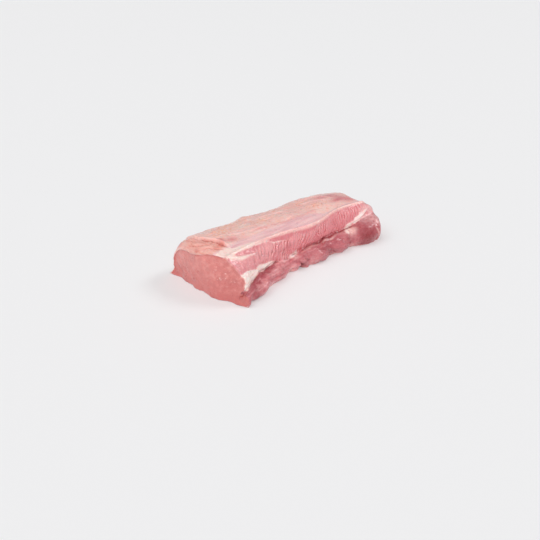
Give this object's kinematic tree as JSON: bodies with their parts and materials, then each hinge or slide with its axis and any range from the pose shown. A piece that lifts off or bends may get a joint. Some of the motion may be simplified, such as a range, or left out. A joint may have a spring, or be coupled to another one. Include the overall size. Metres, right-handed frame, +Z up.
{
  "type": "pork loin roast",
  "caption": "Raw boneless pork loin roast with a cut near face, a membrane-covered fat cap, a striated lean slope and a chain muscle along its lower side, lying flat.",
  "frame": {"origin": "middle of the loin's bounding box, on the flat underside", "axes": "+X along the loin from the near cut face to the far end, +Y to the side with the fat cap, +Z up"},
  "size_m": [0.2476, 0.1176, 0.0519],
  "materials": {
    "raw_pork": "moist, semi-gloss, soft translucent pink lean with creamy white fat"
  },
  "bodies": {
    "root": {"pork_loin": "raw_pork"}
  },
  "joints": []
}
